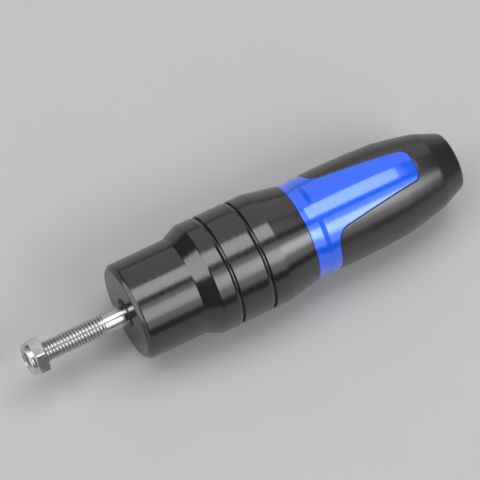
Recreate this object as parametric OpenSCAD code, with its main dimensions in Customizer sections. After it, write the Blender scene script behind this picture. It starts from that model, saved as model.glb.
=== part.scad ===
// Exhaust slider: a turned crash protector for a motorcycle, in millimetres.
// The seat face lies at x = 0, the axis runs along +X to the nose, and the tongue of the collar faces +Z.

/* [Body outline] */
// Largest diameter, shared by the spacer, the ring and the tapered body
main_d = 42.5; // [41:0.5:46]
// Diameter of the front barrel of the spacer
barrel_d = 37; // [34:0.5:39]
// Length of the straight part of the front barrel
barrel_len = 23.5; // [20:0.5:26]
// Length of the cone between the barrel and the largest diameter
cone_len = 6; // [4:0.5:8]
// Length of the whole spacer
spacer_len = 36.5; // [35:0.5:42]
// Length of the middle ring
ring_len = 13; // [10:0.5:16]
// Length of the straight part of the tapered body
straight_len = 7; // [6:0.5:10]
// Length of its taper
taper_len = 12.75; // [11:0.25:16]
// Diameter of the taper where it meets the collar
waist_d = 37.4; // [36:0.2:39]

/* [Nose] */
// Step down from the waist to the nose just behind the collar ring, on diameter
shoulder_step = 0.1; // [0:0.05:0.6]
// Length from the collar ring to the crease
swell_len = 30.3; // [28:0.1:33]
// Rise of the swell over a straight line
swell_rise = 0.35; // [0.1:0.05:0.8]
// Fall of the radius from the collar ring to the crease
crease_drop = 0.75; // [0.25:0.05:1.5]
// Length from the crease to the end cone
fall_len = 16; // [14:0.5:19]
// Rise of the rounded fall over a straight line
fall_rise = 0.2; // [0.1:0.1:0.8]
// Fall of the radius from the crease to the end cone
end_cone_drop = 3.2; // [2.5:0.1:4]
// Length of the end cone
end_cone_len = 9; // [7:0.5:11]
// Diameter of the flat end of the nose
nose_end_d = 22; // [21:0.5:24]
// Rounding of the rim of the end
end_round = 0.6; // [0.2:0.1:0.8]

/* [Collar] */
// Length of the collar ring
collar_len = 9.45; // [9:0.05:13]
// Step down from the waist to the front land of the collar ring, on diameter
collar_step = 0.7; // [0.2:0.1:1]
// Length of the flare at its front edge
flare_len = 2.2; // [1:0.2:3]
// Distance from the front edge to the slope between the lands
slope_at = 4.6; // [3.5:0.1:6]
// Length of that slope, which rises to the shoulder
slope_len = 1.85; // [0.5:0.05:2.5]
// Wall between the collar's front land and its bore
collar_wall = 4.35; // [4:0.05:5.5]
// Length of the tongue behind the ring
tongue_len = 37.7; // [34:0.1:40]
// Half width of the tongue at its root, before the fillet
tongue_root_w = 11.1; // [9:0.1:12]
// Half width of the tongue at its tip
tongue_tip_w = 6.1; // [5:0.1:7]
// Fillet between the ring and the tongue
root_fillet = 5.4; // [3:0.1:6]
// Rounding of the tip's corners
tip_round = 3; // [1:0.2:4]

/* [Bores and registers] */
// Clearance bore for the bolt
bore_d = 10.5; // [9:0.5:12]
// Diameter of the well for the bolt's head
well_d = 17.5; // [17:0.5:20]
// Chamfer at the mouth of the well
mouth_chamfer = 1; // [0.4:0.1:1.2]
// Thickness of the nylon under the washer
seat_wall = 4.7; // [4:0.1:6]
// Thickness of the front wall of the tapered body
front_wall = 5; // [4:0.5:6]
// Diameter of the register spigots
spigot_d = 24; // [20:0.5:28]
// Length of the register spigots
spigot_len = 2.5; // [2:0.1:3.5]
// Depth left free beyond a spigot
spigot_relief = 0.4; // [0.2:0.1:0.8]

/* [Edges and seams] */
// Chamfer of the seat face's outer edge
face_chamfer = 1.5; // [0.5:0.1:2]
// Chamfer of the bore at the seat face
bore_chamfer = 1; // [0.4:0.1:1.5]
// Length of the lip chamfer in front of each seam
lip_len = 1.1; // [0.6:0.1:1.6]
// Drop of the lip chamfer
lip_drop = 0.45; // [0.2:0.05:0.8]
// Width of the seam groove
seam_w = 0.8; // [0.4:0.1:1.2]
// Depth of the seam groove
seam_depth = 1.3; // [0.9:0.1:1.8]
// Small chamfer on all other edges
edge_break = 0.3; // [0.1:0.05:0.4]

/* [Fasteners] */
// Shank diameter of the bolt
bolt_d = 8; // [6:0.5:8]
// Length of the bolt under its head
bolt_len = 100; // [95:1:110]
// Outside diameter over the thread's crests
thread_d = 7.9; // [5.8:0.1:7.9]
// Length of the thread from the tip
thread_len = 30; // [26:1:32]
// Diameter of the bolt's head
head_d = 13; // [10:0.5:14]
// Height of the bolt's head
head_h = 8; // [6:0.5:9]
// Width across the flats of the key socket
key_af = 6; // [5:0.5:7]
// Depth of the key socket
key_depth = 4.3; // [3:0.1:5]
// Chamfer of the bolt's tip
tip_chamfer = 1; // [0.5:0.1:1.4]
// Outside diameter of the washer
washer_d = 16; // [14:0.5:16.5]
// Thickness of the washer
washer_t = 1.6; // [1:0.1:2]
// Clearance of the washer's hole on the bolt, on diameter
washer_clear = 0.4; // [0.2:0.1:0.8]
// Width of the nut across its flats
nut_af = 13; // [13:0.5:14]
// Height of the nut's hexagon
nut_hex_h = 4.5; // [4:0.1:6]
// Height of the nut's round collar
nut_collar_h = 2; // [1.6:0.1:3]
// Diameter of the nut's round collar
nut_collar_d = 12.2; // [11.6:0.1:12.6]
// Outside diameter of the nylon insert
insert_d = 10.6; // [10:0.1:11]
// Height of the nylon insert
insert_h = 1.6; // [1:0.1:1.8]
// Distance that the nut reaches past the bolt's tip
nut_overhang = 0.5; // [0.1:0.1:1.5]

/* [Fits] */
// Radial clearance of the register spigots
register_fit = 0.05; // [0.02:0.01:0.2]
// Radial clearance of the nose's spigot in the collar and the body
nose_fit = 0.1; // [0.05:0.01:0.2]
// Gap round the tongue in its pocket
tongue_gap = 0.15; // [0.05:0.01:0.3]
// Radial clearance of the nut on the thread
thread_fit = 0.05; // [0.02:0.01:0.1]
// Clearance of the nylon insert in the nut
insert_fit = 0.05; // [0.02:0.01:0.1]

/* [Hidden] */

// Stations along the axis
ring_x = spacer_len;
body_x = ring_x + ring_len;
taper_x = body_x + straight_len;
collar_x = taper_x + taper_len;
shoulder_x = collar_x + collar_len;
crease_x = shoulder_x + swell_len;
end_cone_x = crease_x + fall_len;
nose_x = end_cone_x + end_cone_len;
tip_x = shoulder_x + tongue_len;
nose_spigot_x = body_x + front_wall;
washer_x = nose_spigot_x + seat_wall;
head_x = washer_x + washer_t;
bolt_tip_x = head_x - bolt_len;
nut_end_x = bolt_tip_x - nut_overhang;
nut_hex_x = nut_end_x + nut_collar_h;
nut_face_x = nut_hex_x + nut_hex_h;

// Radii used by more than one piece
main_r = main_d / 2;
collar_r = (waist_d - collar_step) / 2;
shoulder_r = (waist_d - shoulder_step) / 2;
crease_r = shoulder_r - crease_drop;
end_cone_r = crease_r - end_cone_drop;
bar_top = 2 * shoulder_r;
bore_r = bore_d / 2;
spigot_r = spigot_d / 2;
well_r = well_d / 2;
collar_bore_r = collar_r - collar_wall;
nose_spigot_r = collar_bore_r - nose_fit;
nut_bore_r = thread_d / 2 + thread_fit;

round_fn = 96;
arc_steps = 12;
corner_steps = 8;
BLACK = [0.07, 0.07, 0.08];
NYLON_BLACK = [0.1, 0.1, 0.1];
BLUE = [0.09, 0.3, 0.95];
STEEL = [0.76, 0.77, 0.79];
NYLON_WHITE = [0.86, 0.87, 0.92];

// Points of an arc from a to b that rises over the chord at its middle
function arc_pts(a, b, rise) =
    let (chord = norm(b - a), along = (b - a) / chord, out = [-along.y, along.x],
         r = (chord * chord / 4 + rise * rise) / (2 * rise),
         half = asin(chord / 2 / r), centre = (a + b) / 2 - out * (r - rise))
    [for (i = [0 : arc_steps])
        let (t = half * (2 * i / arc_steps - 1)) centre + r * (along * sin(t) + out * cos(t))];

// Points of a rounded corner at b, between the edges from a and to c
function corner_pts(a, b, c, r) =
    let (u = (a - b) / norm(a - b), v = (c - b) / norm(c - b), half = acos(u * v) / 2,
         reach = r / tan(half), middle = (u + v) / norm(u + v),
         centre = b + middle * r / sin(half), from = b + u * reach - centre,
         turn = sign(u.x * v.y - u.y * v.x) * (180 - 2 * half))
    [for (i = [0 : corner_steps])
        let (t = -turn * i / corner_steps)
        centre + [from.x * cos(t) - from.y * sin(t), from.x * sin(t) + from.y * cos(t)]];

// A solid turned about the X axis from points of position and radius
module turned(pts) {
    rotate([0, 90, 0]) rotate_extrude($fn = round_fn) polygon([for (p = pts) [p.y, p.x]]);
}

// A hexagonal bar along the X axis, from x for a length
module hex_bar(x, len, af) {
    translate([x, 0, 0]) rotate([0, 90, 0]) linear_extrude(height = len)
        circle(r = af / 2 / cos(30), $fn = 6);
}

// Male register at the front of a piece, up to its seam groove
function spigot_pts(x) = [
    [x - spigot_len, bore_r],
    [x - spigot_len, spigot_r - edge_break],
    [x - spigot_len + edge_break, spigot_r],
    [x, spigot_r]];

// Front edge behind a seam, with the seam groove and a small chamfer
function front_edge_pts(x) = [
    [x, main_r - seam_depth],
    [x + seam_w, main_r - seam_depth],
    [x + seam_w, main_r - edge_break],
    [x + seam_w + edge_break, main_r]];

// Rear edge in front of a seam, with its lip and the female register
function rear_edge_pts(x) = [
    [x - lip_len, main_r],
    [x, main_r - lip_drop],
    [x, spigot_r + register_fit],
    [x - spigot_len - spigot_relief, spigot_r + register_fit],
    [x - spigot_len - spigot_relief, bore_r]];

module mounting_spacer() {
    barrel_r = barrel_d / 2;
    color(BLACK) turned(concat(
        [[bore_chamfer, bore_r],
         [0, bore_r + bore_chamfer],
         [0, barrel_r - face_chamfer],
         [face_chamfer, barrel_r],
         [barrel_len, barrel_r],
         [barrel_len + cone_len, main_r]],
        rear_edge_pts(ring_x)));
}

module middle_ring() {
    color(BLACK) turned(concat(spigot_pts(ring_x), front_edge_pts(ring_x), rear_edge_pts(body_x)));
}

module tapered_body() {
    color(BLACK) turned(concat(
        spigot_pts(body_x),
        front_edge_pts(body_x),
        [[taper_x, main_r],
         [collar_x - edge_break, waist_d / 2 + edge_break * (main_d - waist_d) / 2 / taper_len],
         [collar_x, waist_d / 2 - edge_break],
         [collar_x, collar_bore_r],
         [nose_spigot_x, collar_bore_r],
         [nose_spigot_x, bore_r]]));
}

// Outer line that the tongue and the nose share, from the collar ring to the end cone
skin_pts = concat(
    arc_pts([shoulder_x, shoulder_r], [crease_x, crease_r], swell_rise),
    arc_pts([crease_x, crease_r], [end_cone_x, end_cone_r], fall_rise));

// Half of the tongue's outline seen from above, grown by a gap
function tongue_half(gap) =
    let (root = [shoulder_x, tongue_root_w + gap], tip = [tip_x + gap, tongue_tip_w + gap],
         start = [shoulder_x, bar_top], end = [tip_x + gap, 0])
    concat([[shoulder_x - edge_break, bar_top], start],
           corner_pts(start, root, tip, root_fillet - gap),
           corner_pts(root, tip, end, tip_round + gap));

// Bar with the tongue's outline, standing up from the axis
module tongue_bar(gap) {
    half = tongue_half(gap);
    linear_extrude(height = bar_top)
        polygon(concat(half, [for (i = [len(half) - 1 : -1 : 0]) [half[i].x, -half[i].y]]));
}

module accent_collar() {
    slope_x = collar_x + slope_at;
    color(BLUE) intersection() {
        turned(concat(
            [[collar_x, collar_bore_r],
             [collar_x, waist_d / 2 - edge_break],
             [collar_x + edge_break, waist_d / 2],
             [collar_x + flare_len, collar_r],
             [slope_x, collar_r],
             [slope_x + slope_len, shoulder_r]],
            skin_pts,
            [[end_cone_x, collar_bore_r]]));
        union() {
            turned([[collar_x - 1, 0], [collar_x - 1, bar_top], [shoulder_x, bar_top], [shoulder_x, 0]]);
            tongue_bar(0);
        }
    }
}

module nose_slider() {
    end_r = nose_end_d / 2;
    color(NYLON_BLACK) difference() {
        turned(concat(
            [[nose_spigot_x, bore_r],
             [nose_spigot_x, nose_spigot_r - edge_break],
             [nose_spigot_x + edge_break, nose_spigot_r],
             [shoulder_x, nose_spigot_r]],
            skin_pts,
            [[nose_x - end_round, end_r],
             [nose_x, end_r - end_round],
             [nose_x, well_r + mouth_chamfer],
             [nose_x - mouth_chamfer, well_r],
             [washer_x, well_r],
             [washer_x, bore_r]]));
        difference() {
            tongue_bar(tongue_gap);
            turned([[collar_x, 0], [collar_x, nose_spigot_r], [end_cone_x, nose_spigot_r], [end_cone_x, 0]]);
        }
    }
}

module bolt() {
    head_r = head_d / 2;
    shank_r = bolt_d / 2;
    thread_r = thread_d / 2;
    thread_end_x = bolt_tip_x + thread_len;
    color(STEEL) difference() {
        turned([
            [bolt_tip_x, 0],
            [bolt_tip_x, thread_r - tip_chamfer],
            [bolt_tip_x + tip_chamfer, thread_r],
            [thread_end_x, thread_r],
            [thread_end_x, shank_r],
            [head_x, shank_r],
            [head_x, head_r - edge_break],
            [head_x + edge_break, head_r],
            [head_x + head_h - 2 * edge_break, head_r],
            [head_x + head_h, head_r - 2 * edge_break],
            [head_x + head_h, 0]]);
        hex_bar(head_x + head_h - key_depth, key_depth + 1, key_af);
    }
}

module bolt_washer() {
    hole_r = (bolt_d + washer_clear) / 2;
    washer_r = washer_d / 2;
    color(STEEL) turned([
        [washer_x, hole_r],
        [washer_x, washer_r],
        [head_x - edge_break, washer_r],
        [head_x, washer_r - edge_break],
        [head_x, hole_r]]);
}

module lock_nut() {
    corner_r = nut_af / 2 / cos(30);
    flat_r = nut_af / 2;
    corner_drop = (corner_r - flat_r + edge_break) * tan(30);
    collar_r = nut_collar_d / 2;
    lip = nut_collar_h - insert_h - insert_fit;
    pocket_r = insert_d / 2 + insert_fit;
    pocket_x = nut_end_x + lip;
    color(STEEL) difference() {
        union() {
            intersection() {
                hex_bar(nut_hex_x, nut_hex_h, nut_af);
                turned([
                    [nut_face_x, 0],
                    [nut_face_x, flat_r - edge_break],
                    [nut_face_x - corner_drop, corner_r],
                    [nut_hex_x + corner_drop, corner_r],
                    [nut_hex_x, flat_r - edge_break],
                    [nut_hex_x, 0]]);
            }
            turned([
                [nut_hex_x + edge_break, 0],
                [nut_hex_x + edge_break, collar_r],
                [nut_end_x + nut_collar_h / 2, collar_r],
                [nut_end_x + nut_collar_h / 5, collar_r - nut_collar_h / 5],
                [nut_end_x, collar_r - nut_collar_h / 2],
                [nut_end_x, 0]]);
        }
        turned([
            [nut_face_x + 1, 0],
            [nut_face_x + 1, nut_bore_r + edge_break],
            [nut_face_x, nut_bore_r + edge_break],
            [nut_face_x - edge_break, nut_bore_r],
            [nut_hex_x, nut_bore_r],
            [nut_hex_x, pocket_r],
            [pocket_x, pocket_r],
            [pocket_x, nut_bore_r + 2 * edge_break],
            [nut_end_x - 1, nut_bore_r + 2 * edge_break],
            [nut_end_x - 1, 0]]);
    }
}

module nut_insert() {
    color(NYLON_WHITE) turned([
        [nut_hex_x - insert_fit / 2, nut_bore_r],
        [nut_hex_x - insert_fit / 2, insert_d / 2],
        [nut_hex_x - insert_fit / 2 - insert_h, insert_d / 2],
        [nut_hex_x - insert_fit / 2 - insert_h, nut_bore_r]]);
}

mounting_spacer();
middle_ring();
tapered_body();
accent_collar();
nose_slider();
bolt();
bolt_washer();
lock_nut();
nut_insert();
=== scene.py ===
"""Exhaust slider for a motorcycle: models its turned, moulded and threaded pieces around the packed frame,
finishes them and sets the studio. Sizes are in metres; the axis runs along X and the collar's tongue faces +Z."""

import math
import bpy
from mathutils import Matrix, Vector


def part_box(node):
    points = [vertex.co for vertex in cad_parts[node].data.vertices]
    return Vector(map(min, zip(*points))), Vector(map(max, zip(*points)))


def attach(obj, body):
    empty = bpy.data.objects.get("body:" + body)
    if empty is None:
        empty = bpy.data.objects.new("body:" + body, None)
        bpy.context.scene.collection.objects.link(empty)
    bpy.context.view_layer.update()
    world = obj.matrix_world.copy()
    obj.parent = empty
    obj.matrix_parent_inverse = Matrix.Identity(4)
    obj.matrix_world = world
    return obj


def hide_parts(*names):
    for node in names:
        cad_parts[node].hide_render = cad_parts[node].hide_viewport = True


bl_info = {
    "name": "Exhaust Slider",
    "version": (1, 0, 0),
    "blender": (4, 5, 0),
    "location": "View3D > Sidebar > Exhaust Slider",
    "description": "Models and finishes a turned exhaust slider with its bolt and lock nut",
    "category": "Object",
}

import bmesh
import bpy
from bpy.props import FloatProperty, FloatVectorProperty, IntProperty, PointerProperty
from mathutils import Matrix, Vector

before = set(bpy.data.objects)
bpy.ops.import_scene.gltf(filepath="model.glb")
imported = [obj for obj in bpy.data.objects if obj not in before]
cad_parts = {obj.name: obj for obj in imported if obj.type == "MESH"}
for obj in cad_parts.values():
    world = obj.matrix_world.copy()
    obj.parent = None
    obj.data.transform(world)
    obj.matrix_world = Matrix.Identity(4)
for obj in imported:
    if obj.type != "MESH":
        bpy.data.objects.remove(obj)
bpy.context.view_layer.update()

MM = 0.001
NEAR = 2e-6
X_AXIS = (1.0, 0.0, 0.0)
SPACER_LOW, SPACER_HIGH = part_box("mounting_spacer")
RING_LOW, RING_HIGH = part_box("middle_ring")
COLLAR_LOW, COLLAR_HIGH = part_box("accent_collar")
NOSE_LOW, NOSE_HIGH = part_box("nose_slider")
BOLT_LOW, BOLT_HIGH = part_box("bolt")
WASHER_LOW, WASHER_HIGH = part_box("bolt_washer")
NUT_LOW, NUT_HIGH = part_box("lock_nut")
INSERT_LOW, INSERT_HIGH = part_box("nut_insert")
FACE_X = SPACER_LOW.x
RING_X = SPACER_HIGH.x
BODY_X = RING_HIGH.x
COLLAR_X = COLLAR_LOW.x
TIP_X = COLLAR_HIGH.x
NOSE_END_X = NOSE_HIGH.x
MAIN_R = SPACER_HIGH.z


# ---------------------------------------------------------------------------------------- settings


def length(name, default, description):
    """A size in metres that a user may change."""
    return FloatProperty(name=name, default=default, description=description, min=0.0, unit="LENGTH", precision=5)


def share(name, default, description):
    """A number between 0 and 1."""
    return FloatProperty(name=name, default=default, description=description, min=0.0, max=1.0, subtype="FACTOR")


def brightness(name, default, description):
    """A lamp's brightness, where 1 shows as white."""
    return FloatProperty(name=name, default=default, description=description, min=0.0)


def colour(name, default, description):
    """A linear colour."""
    return FloatVectorProperty(
        name=name, default=default, description=description, subtype="COLOR", size=4, min=0.0, max=1.0
    )


class SliderBodySizes(bpy.types.PropertyGroup):
    """Sizes of the turned pieces"""

    barrel_radius: length("Barrel radius", 18.5 * MM, "Radius of the front barrel")
    barrel_length: length("Barrel length", 23.5 * MM, "Length of the straight front barrel")
    cone_length: length("Cone length", 6.0 * MM, "Length of the cone behind the barrel")
    straight_length: length("Straight length", 7.0 * MM, "Straight part of the tapered body")
    waist_radius: length("Waist radius", 18.7 * MM, "Radius where the taper meets the collar")
    bore_radius: length("Bore radius", 5.25 * MM, "Clearance bore for the bolt")
    spigot_radius: length("Spigot radius", 12.0 * MM, "Radius of the register spigots")
    spigot_length: length("Spigot length", 2.5 * MM, "Length of the register spigots")
    seam_width: length("Seam width", 0.8 * MM, "Width of the groove at each seam")
    seam_depth: length("Seam depth", 1.3 * MM, "Depth of the groove at each seam")
    lip_length: length("Lip length", 1.1 * MM, "Length of the lip in front of each seam")
    lip_drop: length("Lip drop", 0.45 * MM, "Drop of that lip")
    crease_round: length("Crease rounding", 0.35 * MM, "Rounding of the shallow creases")
    edge_round: length("Edge rounding", 0.25 * MM, "Rounding of the turned edges")
    turn_steps: IntProperty(
        name="Turning steps", default=160, min=48, max=256, description="Steps round each turned piece"
    )


class SliderNoseSizes(bpy.types.PropertyGroup):
    """Sizes of the collar and the nose"""

    shoulder_x: length("Shoulder", 78.7 * MM, "Place of the collar ring's rear edge")
    shoulder_radius: length("Shoulder radius", 18.65 * MM, "Radius at the shoulder")
    swell_rise: length("Swell rise", 0.35 * MM, "Rise of the swell over a straight line")
    crease_x: length("Crease", 109.0 * MM, "Place of the crease")
    crease_radius: length("Crease radius", 17.9 * MM, "Radius at the crease")
    crease_round: length("Crease rounding", 0.25 * MM, "Rounding of the crease")
    fall_rise: length("Fall rise", 0.2 * MM, "Rise of the rounded fall over a straight line")
    end_cone_x: length("End cone", 125.0 * MM, "Place where the end cone starts")
    end_cone_radius: length("End cone radius", 14.7 * MM, "Radius where the end cone starts")
    end_radius: length("End radius", 11.0 * MM, "Radius of the flat end")
    well_radius: length("Well radius", 8.75 * MM, "Radius of the well for the bolt's head")
    spigot_radius: length("Nose spigot radius", 13.9 * MM, "Radius of the nose's long spigot")
    spigot_x: length("Nose spigot start", 54.5 * MM, "Front end of the nose's spigot")
    collar_radius: length("Collar radius", 18.35 * MM, "Radius of the collar ring's front land")
    flare_length: length("Flare length", 2.2 * MM, "Length of the flare at the collar's front")
    slope_at: length("Slope place", 4.6 * MM, "Distance from the collar's front edge to the slope between its lands")
    slope_length: length("Slope length", 1.85 * MM, "Length of the slope between the collar's lands")
    collar_bore_radius: length("Collar bore", 14.0 * MM, "Inner radius of the collar")
    root_half_width: length("Tongue root", 11.1 * MM, "Half width of the tongue at its root")
    tip_half_width: length("Tongue tip", 6.1 * MM, "Half width of the tongue at its tip")
    root_fillet: length("Root fillet", 5.4 * MM, "Fillet between the ring and the tongue")
    tip_round: length("Tip rounding", 3.0 * MM, "Rounding of the tip's corners")
    pocket_gap: length("Pocket gap", 0.15 * MM, "Gap between the tongue and its pocket")
    rim_round: length("Rim rounding", 0.22 * MM, "Rounding of the collar's and the pocket's rims")


class SliderFastenerSizes(bpy.types.PropertyGroup):
    """Sizes of the bolt, washer and lock nut"""

    pitch: length("Pitch", 1.25 * MM, "Pitch of the thread")
    crest_radius: length("Crest radius", 3.95 * MM, "Radius over the thread's crests")
    root_radius: length("Root radius", 3.24 * MM, "Radius at the thread's roots")
    thread_length: length("Thread length", 30.0 * MM, "Length of the thread from the tip")
    shank_radius: length("Shank radius", 4.0 * MM, "Radius of the plain shank")
    tip_chamfer: length("Tip chamfer", 1.0 * MM, "Chamfer of the bolt's tip")
    head_radius: length("Head radius", 6.5 * MM, "Radius of the bolt's head")
    head_height: length("Head height", 8.0 * MM, "Height of the bolt's head")
    key_across: length("Key size", 6.0 * MM, "Width across the flats of the key socket")
    key_depth: length("Key depth", 4.3 * MM, "Depth of the key socket")
    nut_across: length("Nut size", 13.0 * MM, "Width across the flats of the nut")
    nut_hex_height: length("Nut hexagon height", 4.5 * MM, "Height of the nut's hexagon")
    nut_collar_radius: length("Nut collar radius", 6.1 * MM, "Radius of the nut's round collar")
    insert_radius: length("Insert radius", 5.3 * MM, "Outer radius of the nylon insert")
    edge_round: length("Fastener rounding", 0.14 * MM, "Rounding of the fasteners' edges")
    nut_turn: FloatProperty(
        name="Nut turn", default=math.radians(-11), description="Turn of the nut's hexagon on the thread", subtype="ANGLE"
    )


class SliderColours(bpy.types.PropertyGroup):
    """Colours and roughness of the finishes"""

    anodised_black: colour("Black anodising", (0.009, 0.009, 0.0096, 1.0), "Base of the black anodised metal")
    anodised_black_roughness: share("Black anodising roughness", 0.17, "Roughness of the black anodised metal")
    anodised_blue: colour("Blue anodising", (0.006, 0.12, 1.0, 1.0), "Base of the blue anodised metal")
    anodised_blue_roughness: share("Blue anodising roughness", 0.2, "Roughness of the blue anodised metal")
    nylon_black: colour("Black nylon", (0.0145, 0.0142, 0.0138, 1.0), "Base of the black nylon")
    nylon_black_roughness: share("Black nylon roughness", 0.24, "Roughness of the black nylon")
    steel: colour("Plated steel", (0.58, 0.566, 0.562, 1.0), "Base of the plated steel")
    steel_roughness: share("Plated steel roughness", 0.2, "Roughness of the plated steel")
    insert: colour("Insert nylon", (0.62, 0.65, 0.78, 1.0), "Base of the nut's nylon insert")
    floor: colour("Floor", (0.43, 0.43, 0.435, 1.0), "Colour of the floor")
    backdrop: colour("Backdrop", (0.6, 0.6, 0.605, 1.0), "Colour of the studio round the floor")


class SliderStudio(bpy.types.PropertyGroup):
    """Brightness of the studio's lamps"""

    overhead: brightness("Overhead softboxes", 3.8, "Brightness of the softboxes overhead")
    front: brightness("Front softbox", 2.3, "Brightness of the middle of the softbox in front")
    front_edge: brightness("Front softbox edge", 1.2, "Brightness of the whole softbox in front")
    rear: brightness("Rear softbox", 0.6, "Brightness of the wide softbox behind")
    left: brightness("Left softbox", 2.0, "Brightness of the low softbox off the bolt's end")
    surround: brightness("Surround", 0.14, "Brightness of the studio itself")


# ----------------------------------------------------------------------------------- making by hand


def fresh():
    """Leaves edit mode with nothing selected."""
    if bpy.context.mode != "OBJECT":
        bpy.ops.object.mode_set(mode="OBJECT")
    bpy.ops.object.select_all(action="DESELECT")


def take(obj):
    """Makes one object the only selected and the active one."""
    fresh()
    obj.select_set(True)
    bpy.context.view_layer.objects.active = obj


def edit(mode="VERT"):
    """Enters edit mode on the active object with nothing selected."""
    bpy.ops.object.mode_set(mode="EDIT")
    bpy.ops.mesh.select_mode(type=mode)
    bpy.ops.mesh.select_all(action="DESELECT")


def done():
    """Leaves edit mode."""
    bpy.ops.object.mode_set(mode="OBJECT")


def pick(kind, test):
    """Selects the vertices, edges or faces that pass a test, and says how many there are."""
    mesh = bmesh.from_edit_mesh(bpy.context.object.data)
    for group in (mesh.verts, mesh.edges, mesh.faces):
        for item in group:
            item.select = False
    chosen = [item for item in getattr(mesh, kind) if test(item)]
    for item in chosen:
        item.select_set(True)
    mesh.select_flush_mode()
    bmesh.update_edit_mesh(bpy.context.object.data)
    return len(chosen)


def radius_of(co):
    """Distance of a point from the slider's axis."""
    return math.hypot(co.y, co.z)


def close_up():
    """Merges doubled vertices of the mesh in edit mode and turns its faces outwards."""
    bpy.ops.mesh.select_all(action="SELECT")
    bpy.ops.mesh.remove_doubles(threshold=NEAR)
    bpy.ops.mesh.normals_make_consistent(inside=False)


def apply_modifiers(obj):
    """Applies each modifier of an object in its order."""
    take(obj)
    for name in [m.name for m in obj.modifiers]:
        bpy.ops.object.modifier_apply(modifier=name)


def smooth(obj, angle=math.radians(32)):
    """Shades an object smooth between its rounded edges."""
    take(obj)
    bpy.ops.object.shade_smooth_by_angle(angle=angle)
    weighted = obj.modifiers.new("face_weight", "WEIGHTED_NORMAL")
    weighted.keep_sharp = True
    weighted.weight = 80
    apply_modifiers(obj)


def dress(obj, body, node, material):
    """Gives a piece its material and its body, and hides the CAD node that it stands for."""
    obj.data.materials.clear()
    obj.data.materials.append(bpy.data.materials[material])
    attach(obj, body)
    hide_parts(node)


def start_point(name, x, radius):
    """Starts a piece as a single vertex on the XZ plane."""
    fresh()
    bpy.ops.mesh.primitive_plane_add(size=MM, location=(0, 0, 0))
    obj = bpy.context.object
    obj.name = obj.data.name = name
    edit()
    bpy.ops.mesh.select_all(action="SELECT")
    bpy.ops.mesh.merge(type="CENTER")
    bpy.ops.mesh.select_all(action="SELECT")
    bpy.ops.transform.translate(value=(x, 0, radius))
    return obj


def draw_line(points):
    """Extrudes the selected vertex along points of place and radius."""
    for (xa, ra), (xb, rb) in zip(points, points[1:]):
        bpy.ops.mesh.extrude_vertices_move(TRANSFORM_OT_translate={"value": (xb - xa, 0, rb - ra)})


def round_corners(corners, segments=3):
    """Rounds the profile's corners, each given as place, radius and rounding."""
    for rounding in sorted({c[2] for c in corners}):
        places = [c for c in corners if c[2] == rounding]
        found = pick(
            "verts",
            lambda v: any(abs(v.co.x - x) < NEAR and abs(v.co.z - r) < NEAR for x, r, _ in places),
        )
        if found != len(places):
            raise RuntimeError(f"{found} corners found for {len(places)} roundings of {rounding}")
        bpy.ops.mesh.bevel(offset=rounding, segments=segments, affect="VERTICES")


def turned(name, outline, steps, closed=True):
    """Draws an outline of (place, radius, rounding) on the XZ plane, rounds its corners and spins it about X."""
    obj = start_point(name, outline[0][0], outline[0][1])
    draw_line([(x, r) for x, r, _ in outline])
    if closed:
        ends = (outline[0], outline[-1])
        pick("verts", lambda v: any(abs(v.co.x - e[0]) < NEAR and abs(v.co.z - e[1]) < NEAR for e in ends))
        bpy.ops.mesh.edge_face_add()
    rounded = [c for c in outline if c[2]]
    if rounded:
        round_corners(rounded)
    bpy.ops.mesh.select_all(action="SELECT")
    bpy.ops.mesh.spin(steps=steps, angle=2 * math.pi, center=(0, 0, 0), axis=X_AXIS)
    close_up()
    done()
    return obj


# ------------------------------------------------------------------------------------ node groups


def new_group(name, inputs, outputs):
    """A shader node group with its named sockets, ready for its nodes."""
    group = bpy.data.node_groups.new(name, "ShaderNodeTree")
    for label, kind, value in inputs:
        socket = group.interface.new_socket(name=label, in_out="INPUT", socket_type=kind)
        if value is not None:
            socket.default_value = value
    for label, kind in outputs:
        group.interface.new_socket(name=label, in_out="OUTPUT", socket_type=kind)
    return group, Wiring(group)


class Wiring:
    """Adds nodes to a tree and links them by socket name."""

    def __init__(self, tree):
        self.tree = tree
        self.count = 0

    def add(self, kind, links=None, **settings):
        """Adds a node; settings are its properties or input values, links are its incoming sockets."""
        node = self.tree.nodes.new(kind)
        node.location = (220 * (self.count % 7), -240 * (self.count // 7))
        self.count += 1
        for key, value in settings.items():
            if hasattr(node, key):
                setattr(node, key, value)
            else:
                node.inputs[key.replace("_", " ")].default_value = value
        for key, socket in (links or {}).items():
            self.tree.links.new(socket, node.inputs[key])
        return node

    def math(self, operation, a, b=None, c=None, clamp=False):
        """A Math node on sockets or numbers."""
        node = self.add("ShaderNodeMath", operation=operation, use_clamp=clamp)
        for index, value in enumerate((a, b, c)):
            if value is None:
                continue
            if isinstance(value, (int, float)):
                node.inputs[index].default_value = value
            else:
                self.tree.links.new(value, node.inputs[index])
        return node.outputs[0]

    def spread(self, value, low, high, to_low=0.0, to_high=1.0):
        """A clamped Map Range of a socket."""
        node = self.add("ShaderNodeMapRange", {"Value": value}, clamp=True)
        for label, number in (("From Min", low), ("From Max", high), ("To Min", to_low), ("To Max", to_high)):
            if isinstance(number, (int, float)):
                node.inputs[label].default_value = number
            else:
                self.tree.links.new(number, node.inputs[label])
        return node.outputs["Result"]

    def blend(self, factor, a, b):
        """A colour mix of two colours or sockets."""
        node = self.add("ShaderNodeMix", data_type="RGBA", clamp_factor=True)
        for index, value in ((0, factor), (6, a), (7, b)):
            if isinstance(value, bpy.types.NodeSocket):
                self.tree.links.new(value, node.inputs[index])
            else:
                node.inputs[index].default_value = value
        return node.outputs[2]


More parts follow.
